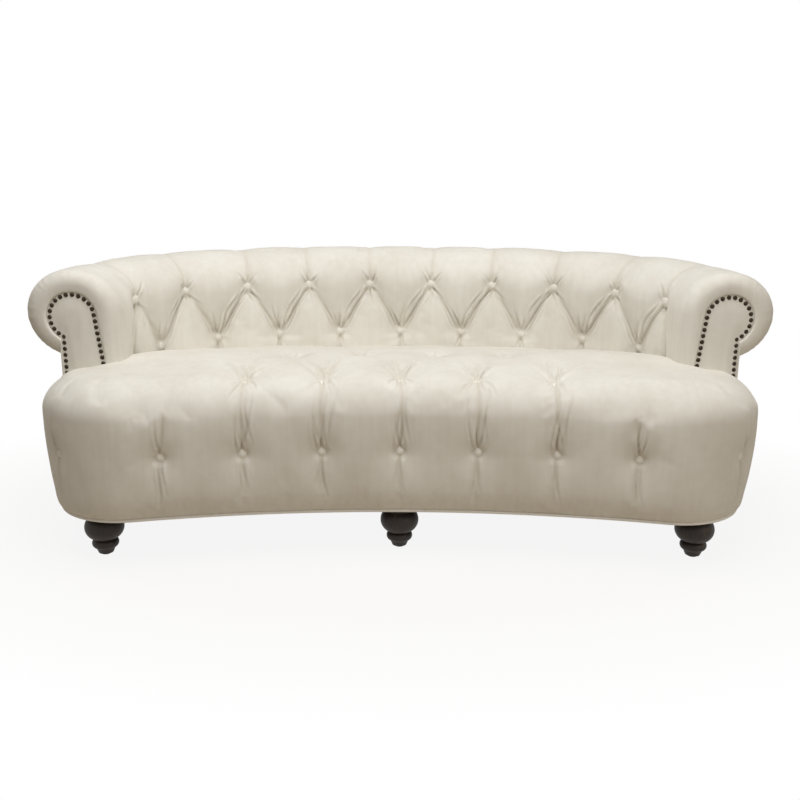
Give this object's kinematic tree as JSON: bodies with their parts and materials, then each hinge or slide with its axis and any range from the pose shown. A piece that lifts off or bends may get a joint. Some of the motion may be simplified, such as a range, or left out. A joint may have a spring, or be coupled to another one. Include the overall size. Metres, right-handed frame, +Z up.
{
  "type": "sofa",
  "caption": "Curved settee in ivory velvet with a rolled, deep-buttoned back and arms, a tight buttoned seat, nailed arm facings and dark turned feet.",
  "frame": {"origin": "on the floor, under the centre of the bounding box", "axes": "+X to the right of someone looking at the front, +Y to the back, +Z up"},
  "size_m": [1.922, 0.9799, 0.724],
  "materials": {
    "cream_velvet": "ivory velvet with a short pile",
    "foam": "cut upholstery foam",
    "turned_wood": "dark stained wood, worn at the edges",
    "frame_timber": "raw sawn timber and plywood",
    "board": "thin fibre board",
    "jute": "woven strap and twine",
    "black_lining": "black bonded lining cloth",
    "antique_nail": "dark antique finish",
    "plated_steel": "zinc plated",
    "spring_steel": "oiled spring wire",
    "dark_plastic": "moulded glide"
  },
  "bodies": {
    "root": {"arm_buttons": "cream_velvet", "arm_facing_blocks": "frame_timber", "arm_facing_panel_left": "cream_velvet", "arm_facing_panel_right": "cream_velvet", "arm_foam_left": "foam", "arm_foam_right": "foam", "arm_front_post_left": "frame_timber", "arm_front_post_right": "frame_timber", "arm_nails_left": "antique_nail", "arm_nails_right": "antique_nail", "arm_neck_rails": "frame_timber", "arm_roll_linings": "board", "arm_top_rails": "frame_timber", "back_bottom_rail": "frame_timber", "back_button_twine": "jute", "back_buttons_lower": "cream_velvet", "back_buttons_upper": "cream_velvet", "back_foam": "foam", "back_neck_rail": "frame_timber", "back_ribs_left": "frame_timber", "back_ribs_right": "frame_timber", "back_roll_lining": "board", "back_top_rail": "frame_timber", "back_webbing": "jute", "bottom_piping": "cream_velvet", "cross_rails": "frame_timber", "dust_cover": "black_lining", "foot_bolts": "plated_steel", "foot_front_centre": "turned_wood", "foot_front_left": "turned_wood", "foot_front_right": "turned_wood", "foot_glides": "dark_plastic", "foot_inserts": "plated_steel", "foot_rear_centre": "turned_wood", "foot_rear_left": "turned_wood", "foot_rear_right": "turned_wood", "frame_screws": "plated_steel", "front_centre_block": "frame_timber", "front_corner_blocks": "frame_timber", "front_rail": "frame_timber", "inside_arm_cover_left": "cream_velvet", "inside_arm_cover_right": "cream_velvet", "inside_back_cover": "cream_velvet", "outside_arm_cover_left": "cream_velvet", "outside_arm_cover_right": "cream_velvet", "outside_back_cover": "cream_velvet", "rear_foot_blocks": "frame_timber", "seat_button_twine": "jute", "seat_buttons_front": "cream_velvet", "seat_buttons_top": "cream_velvet", "seat_cover": "cream_velvet", "seat_deck": "black_lining", "seat_foam": "foam", "seat_springs": "spring_steel", "side_bottom_rail_left": "frame_timber", "side_bottom_rail_right": "frame_timber", "spring_clips": "plated_steel", "spring_rail": "frame_timber", "spring_tie_wires": "spring_steel"}
  },
  "joints": []
}
